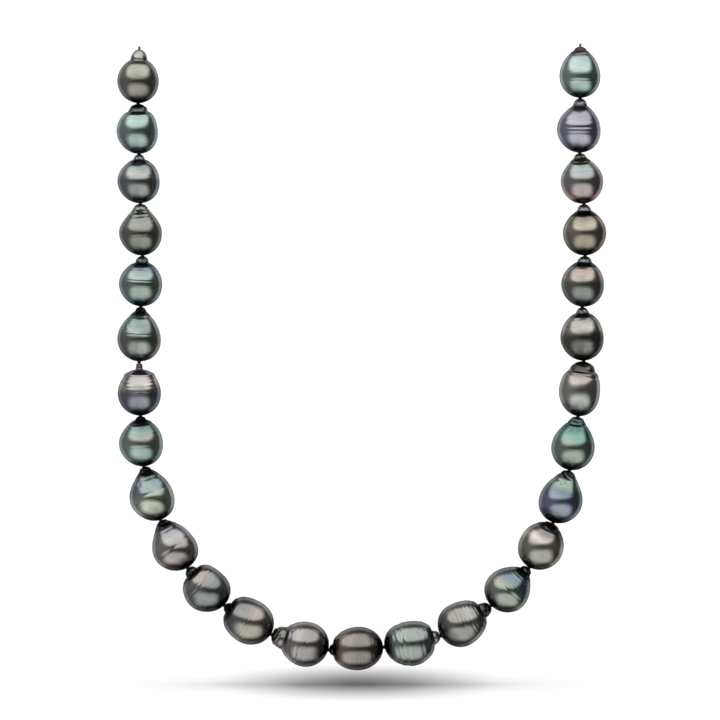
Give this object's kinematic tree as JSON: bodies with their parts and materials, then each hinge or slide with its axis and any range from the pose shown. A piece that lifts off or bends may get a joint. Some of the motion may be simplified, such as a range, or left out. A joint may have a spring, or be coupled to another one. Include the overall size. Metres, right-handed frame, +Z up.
{
  "type": "pearl necklace",
  "caption": "Graduated baroque dark pearl necklace on knotted silk, hung open in a U, with a lobster clasp and jump ring behind its ends.",
  "frame": {"origin": "middle of the straight line between the tip mouths of the two end pearls, where the open strand is held", "axes": "+Z up along the length of the hanging U, +X across it from the clasp side to the ring side, +Y behind it"},
  "size_m": [0.1181, 0.0134, 0.1521],
  "materials": {
    "pearl_left_01": "nacre",
    "pearl_left_02": "nacre",
    "pearl_left_03": "nacre",
    "pearl_left_04": "nacre",
    "pearl_left_05": "nacre",
    "pearl_left_06": "nacre",
    "pearl_left_07": "nacre",
    "pearl_left_08": "nacre",
    "pearl_left_09": "nacre",
    "pearl_left_10": "nacre",
    "pearl_left_11": "nacre",
    "pearl_left_12": "nacre",
    "pearl_left_13": "nacre",
    "pearl_right_01": "nacre",
    "pearl_right_02": "nacre",
    "pearl_right_03": "nacre",
    "pearl_right_04": "nacre",
    "pearl_right_05": "nacre",
    "pearl_right_06": "nacre",
    "pearl_right_07": "nacre",
    "pearl_right_08": "nacre",
    "pearl_right_09": "nacre",
    "pearl_right_10": "nacre",
    "pearl_right_11": "nacre",
    "pearl_right_12": "nacre",
    "pearl_right_13": "nacre",
    "pearl_middle": "nacre",
    "silk": "twisted silk",
    "gimp": "fine wire coil",
    "white_gold": "polished",
    "spring_wire": "drawn wire"
  },
  "bodies": {
    "strand_ends": {"silk_left_01": "silk", "silk_right_01": "silk", "gimp_loops": "gimp"},
    "silk_level_02": {"silk_left_02": "silk", "silk_right_02": "silk"},
    "silk_level_03": {"silk_left_03": "silk", "silk_right_03": "silk"},
    "silk_level_04": {"silk_left_04": "silk", "silk_right_04": "silk"},
    "silk_level_05": {"silk_left_05": "silk", "silk_right_05": "silk"},
    "silk_level_06": {"silk_left_06": "silk", "silk_right_06": "silk"},
    "silk_level_07": {"silk_left_07": "silk", "silk_right_07": "silk"},
    "silk_level_08": {"silk_left_08": "silk", "silk_right_08": "silk"},
    "silk_level_09": {"silk_left_09": "silk", "silk_right_09": "silk"},
    "silk_level_10": {"silk_left_10": "silk", "silk_right_10": "silk"},
    "silk_level_11": {"silk_left_11": "silk", "silk_right_11": "silk"},
    "silk_level_12": {"silk_left_12": "silk", "silk_right_12": "silk"},
    "silk_level_13": {"silk_left_13": "silk", "silk_right_13": "silk", "silk_middle": "silk"},
    "pearl_left_01": {"pearl_left_01": "pearl_left_01"},
    "pearl_right_01": {"pearl_right_01": "pearl_right_01"},
    "pearl_left_02": {"pearl_left_02": "pearl_left_02"},
    "pearl_right_02": {"pearl_right_02": "pearl_right_02"},
    "pearl_left_03": {"pearl_left_03": "pearl_left_03"},
    "pearl_right_03": {"pearl_right_03": "pearl_right_03"},
    "pearl_left_04": {"pearl_left_04": "pearl_left_04"},
    "pearl_right_04": {"pearl_right_04": "pearl_right_04"},
    "pearl_left_05": {"pearl_left_05": "pearl_left_05"},
    "pearl_right_05": {"pearl_right_05": "pearl_right_05"},
    "pearl_left_06": {"pearl_left_06": "pearl_left_06"},
    "pearl_right_06": {"pearl_right_06": "pearl_right_06"},
    "pearl_left_07": {"pearl_left_07": "pearl_left_07"},
    "pearl_right_07": {"pearl_right_07": "pearl_right_07"},
    "pearl_left_08": {"pearl_left_08": "pearl_left_08"},
    "pearl_right_08": {"pearl_right_08": "pearl_right_08"},
    "pearl_left_09": {"pearl_left_09": "pearl_left_09"},
    "pearl_right_09": {"pearl_right_09": "pearl_right_09"},
    "pearl_left_10": {"pearl_left_10": "pearl_left_10"},
    "pearl_right_10": {"pearl_right_10": "pearl_right_10"},
    "pearl_left_11": {"pearl_left_11": "pearl_left_11"},
    "pearl_right_11": {"pearl_right_11": "pearl_right_11"},
    "pearl_left_12": {"pearl_left_12": "pearl_left_12"},
    "pearl_right_12": {"pearl_right_12": "pearl_right_12"},
    "pearl_left_13": {"pearl_left_13": "pearl_left_13"},
    "pearl_right_13": {"pearl_right_13": "pearl_right_13"},
    "pearl_middle": {"pearl_middle": "pearl_middle"},
    "clasp": {"clasp_body": "white_gold", "clasp_rivet": "white_gold", "clasp_spring": "spring_wire"},
    "clasp_lever": {"clasp_lever": "white_gold"},
    "jump_ring": {"jump_ring": "white_gold"}
  },
  "joints": [
    {"name": "fold_01", "type": "hinge", "parent": "strand_ends", "child": "silk_level_02", "pos_m": [-0.05353, 0, -0.01336], "axis": [0.9999, 0, 0.0119], "range_deg": [-15, 15]},
    {"name": "fold_02", "type": "hinge", "parent": "silk_level_02", "child": "silk_level_03", "pos_m": [-0.05331, 0, -0.02561], "axis": [1, 0, 0.0025], "range_deg": [-15, 15]},
    {"name": "fold_03", "type": "hinge", "parent": "silk_level_03", "child": "silk_level_04", "pos_m": [-0.05306, 0, -0.03755], "axis": [1, 0, -0.0008], "range_deg": [-15, 15]},
    {"name": "fold_04", "type": "hinge", "parent": "silk_level_04", "child": "silk_level_05", "pos_m": [-0.05253, 0, -0.05019], "axis": [1, 0, 0], "range_deg": [-15, 15]},
    {"name": "fold_05", "type": "hinge", "parent": "silk_level_05", "child": "silk_level_06", "pos_m": [-0.05296, 0, -0.06254], "axis": [1, 0, -0.0008], "range_deg": [-15, 15]},
    {"name": "fold_06", "type": "hinge", "parent": "silk_level_06", "child": "silk_level_07", "pos_m": [-0.05341, 0, -0.07588], "axis": [1, 0, 0.002], "range_deg": [-15, 15]},
    {"name": "fold_07", "type": "hinge", "parent": "silk_level_07", "child": "silk_level_08", "pos_m": [-0.05315, 0, -0.08903], "axis": [1, 0, -0.0012], "range_deg": [-15, 15]},
    {"name": "fold_08", "type": "hinge", "parent": "silk_level_08", "child": "silk_level_09", "pos_m": [-0.05229, 0, -0.10135], "axis": [1, 0, -0.0087], "range_deg": [-15, 15]},
    {"name": "fold_09", "type": "hinge", "parent": "silk_level_09", "child": "silk_level_10", "pos_m": [-0.04825, 0, -0.11439], "axis": [1, 0, -0.0064], "range_deg": [-15, 15]},
    {"name": "fold_10", "type": "hinge", "parent": "silk_level_10", "child": "silk_level_11", "pos_m": [-0.04172, 0, -0.12603], "axis": [1, 0, 0.0016], "range_deg": [-15, 15]},
    {"name": "fold_11", "type": "hinge", "parent": "silk_level_11", "child": "silk_level_12", "pos_m": [-0.03279, 0, -0.13512], "axis": [1, 0, -0.0011], "range_deg": [-15, 15]},
    {"name": "fold_12", "type": "hinge", "parent": "silk_level_12", "child": "silk_level_13", "pos_m": [-0.02145, 0, -0.14218], "axis": [1, 0, -0.0093], "range_deg": [-15, 15]},
    {"name": "pearl_left_01_spin", "type": "hinge", "parent": "strand_ends", "child": "pearl_left_01", "pos_m": [-0.05338, 0, -0.00685], "axis": [0.0226, 0, 0.9997], "continuous": true},
    {"name": "pearl_right_01_spin", "type": "hinge", "parent": "strand_ends", "child": "pearl_right_01", "pos_m": [0.05323, 0, -0.00588], "axis": [0, 0, 1], "continuous": true},
    {"name": "pearl_left_02_spin", "type": "hinge", "parent": "silk_level_02", "child": "pearl_left_02", "pos_m": [-0.05342, 0, -0.01948], "axis": [-0.0175, 0, 0.9998], "continuous": true},
    {"name": "pearl_right_02_spin", "type": "hinge", "parent": "silk_level_02", "child": "pearl_right_02", "pos_m": [0.05317, 0, -0.01871], "axis": [0.0088, 0, 1], "continuous": true},
    {"name": "pearl_left_03_spin", "type": "hinge", "parent": "silk_level_03", "child": "pearl_left_03", "pos_m": [-0.05319, 0, -0.03158], "axis": [-0.0209, 0, 0.9998], "continuous": true},
    {"name": "pearl_right_03_spin", "type": "hinge", "parent": "silk_level_03", "child": "pearl_right_03", "pos_m": [0.05364, 0, -0.03149], "axis": [-0.0854, 0, 0.9963], "continuous": true},
    {"name": "pearl_left_04_spin", "type": "hinge", "parent": "silk_level_04", "child": "pearl_left_04", "pos_m": [-0.0528, 0, -0.04387], "axis": [-0.0418, 0, 0.9991], "continuous": true},
    {"name": "pearl_right_04_spin", "type": "hinge", "parent": "silk_level_04", "child": "pearl_right_04", "pos_m": [0.05432, 0, -0.04392], "axis": [-0.0245, 0, 0.9997], "continuous": true},
    {"name": "pearl_left_05_spin", "type": "hinge", "parent": "silk_level_05", "child": "pearl_left_05", "pos_m": [-0.05275, 0, -0.05636], "axis": [0.0349, 0, 0.9994], "continuous": true},
    {"name": "pearl_right_05_spin", "type": "hinge", "parent": "silk_level_05", "child": "pearl_right_05", "pos_m": [0.05415, 0, -0.0564], "axis": [0.0524, 0, 0.9986], "continuous": true},
    {"name": "pearl_left_06_spin", "type": "hinge", "parent": "silk_level_06", "child": "pearl_left_06", "pos_m": [-0.05318, 0, -0.06921], "axis": [0.0331, 0, 0.9995], "continuous": true},
    {"name": "pearl_right_06_spin", "type": "hinge", "parent": "silk_level_06", "child": "pearl_right_06", "pos_m": [0.054, 0, -0.06914], "axis": [-0.0262, 0, 0.9997], "continuous": true},
    {"name": "pearl_left_07_spin", "type": "hinge", "parent": "silk_level_07", "child": "pearl_left_07", "pos_m": [-0.05328, 0, -0.08245], "axis": [-0.0192, 0, 0.9998], "continuous": true},
    {"name": "pearl_right_07_spin", "type": "hinge", "parent": "silk_level_07", "child": "pearl_right_07", "pos_m": [0.05349, 0, -0.08241], "axis": [0.0993, 0, 0.9951], "continuous": true},
    {"name": "pearl_left_08_spin", "type": "hinge", "parent": "silk_level_08", "child": "pearl_left_08", "pos_m": [-0.05272, 0, -0.09519], "axis": [-0.0698, 0, 0.9976], "continuous": true},
    {"name": "pearl_right_08_spin", "type": "hinge", "parent": "silk_level_08", "child": "pearl_right_08", "pos_m": [0.0518, 0, -0.0957], "axis": [0.1547, 0, 0.988], "continuous": true},
    {"name": "pearl_left_09_spin", "type": "hinge", "parent": "silk_level_09", "child": "pearl_left_09", "pos_m": [-0.05027, 0, -0.10787], "axis": [-0.2957, 0, 0.9553], "continuous": true},
    {"name": "pearl_right_09_spin", "type": "hinge", "parent": "silk_level_09", "child": "pearl_right_09", "pos_m": [0.0488, 0, -0.10862], "axis": [0.2957, 0, 0.9553], "continuous": true},
    {"name": "pearl_left_10_spin", "type": "hinge", "parent": "silk_level_10", "child": "pearl_left_10", "pos_m": [-0.04499, 0, -0.12021], "axis": [-0.4893, 0, 0.8721], "continuous": true},
    {"name": "pearl_right_10_spin", "type": "hinge", "parent": "silk_level_10", "child": "pearl_right_10", "pos_m": [0.04392, 0, -0.12044], "axis": [0.4695, 0, 0.883], "continuous": true},
    {"name": "pearl_left_11_spin", "type": "hinge", "parent": "silk_level_11", "child": "pearl_left_11", "pos_m": [-0.03725, 0, -0.13057], "axis": [-0.7009, 0, 0.7132], "continuous": true},
    {"name": "pearl_right_11_spin", "type": "hinge", "parent": "silk_level_11", "child": "pearl_right_11", "pos_m": [0.03637, 0, -0.13055], "axis": [0.7071, 0, 0.7071], "continuous": true},
    {"name": "pearl_left_12_spin", "type": "hinge", "parent": "silk_level_12", "child": "pearl_left_12", "pos_m": [-0.02712, 0, -0.13865], "axis": [-0.849, 0, 0.5284], "continuous": true},
    {"name": "pearl_right_12_spin", "type": "hinge", "parent": "silk_level_12", "child": "pearl_right_12", "pos_m": [0.02562, 0, -0.13888], "axis": [0.8563, 0, 0.5165], "continuous": true},
    {"name": "pearl_left_13_spin", "type": "hinge", "parent": "silk_level_13", "child": "pearl_left_13", "pos_m": [-0.01448, 0, -0.14406], "axis": [-0.9655, 0, 0.2605], "continuous": true},
    {"name": "pearl_right_13_spin", "type": "hinge", "parent": "silk_level_13", "child": "pearl_right_13", "pos_m": [0.01268, 0, -0.14389], "axis": [0.9816, 0, 0.1908], "continuous": true},
    {"name": "pearl_middle_spin", "type": "hinge", "parent": "silk_level_13", "child": "pearl_middle", "pos_m": [-0.00084, 0, -0.14558], "axis": [-0.9985, 0, -0.054], "continuous": true},
    {"name": "clasp_swing", "type": "hinge", "parent": "strand_ends", "child": "clasp", "pos_m": [-0.05323, 0.0065, -0.0026], "axis": [1, 0, 0], "range_deg": [0, 100]},
    {"name": "clasp_lever_pivot", "type": "hinge", "parent": "clasp", "child": "clasp_lever", "pos_m": [-0.05288, 0.0065, -0.0059], "axis": [0, 1, 0], "range_deg": [0, 18], "stiffness_Nm_per_rad": 0.00004, "springref_deg": -11.46, "deforming": ["clasp_spring"]},
    {"name": "jump_ring_swing", "type": "hinge", "parent": "strand_ends", "child": "jump_ring", "pos_m": [0.05323, 0.0065, -0.00193], "axis": [1, 0, 0], "range_deg": [0, 100]}
  ]
}
